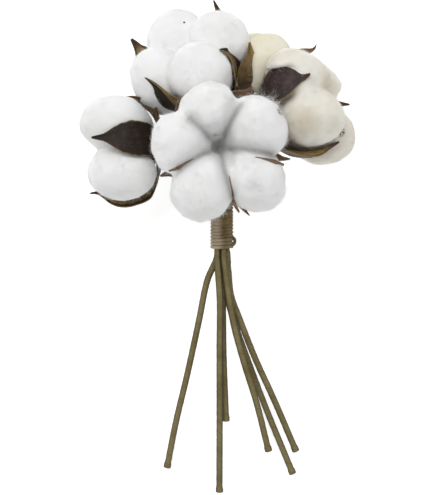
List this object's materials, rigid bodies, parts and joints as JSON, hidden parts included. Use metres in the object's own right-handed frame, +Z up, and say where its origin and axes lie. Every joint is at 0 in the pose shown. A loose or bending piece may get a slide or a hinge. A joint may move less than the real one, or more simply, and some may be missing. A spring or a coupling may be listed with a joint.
{
  "type": "cotton stem bunch",
  "caption": "Bunch of open cotton bolls on bare wrapped stems, tied with twine, lying flat; dried-flower decoration for a vase, wreath or table.",
  "frame": {"origin": "bottom centre of the bounding box, on the surface the bunch lies on", "axes": "+Y along the stems towards the bolls, +Z up from the surface the bunch lies on, +X to the right with the bolls at the top"},
  "size_m": [0.1376, 0.2518, 0.0806],
  "materials": {
    "cotton": "loose raw cotton fibre, matt and fluffy",
    "husk": "dry brown bur, dull outside and tan inside",
    "stem_tape": "olive-brown floral tape wound round a stem, matt",
    "twine": "tan natural twine, matt and slightly hairy"
  },
  "bodies": {
    "root": {"front_husk": "husk", "front_cotton": "cotton", "upper_left_husk": "husk", "upper_left_cotton": "cotton", "left_husk": "husk", "left_cotton": "cotton", "right_husk": "husk", "right_cotton": "cotton", "back_husk": "husk", "back_cotton": "cotton", "under_husk": "husk", "under_cotton": "cotton", "stem_left": "stem_tape", "stem_front": "stem_tape", "stem_under": "stem_tape", "stem_right": "stem_tape", "stem_back": "stem_tape", "stem_upper_left": "stem_tape", "twine_tie": "twine", "twine_loop": "twine"}
  },
  "joints": []
}
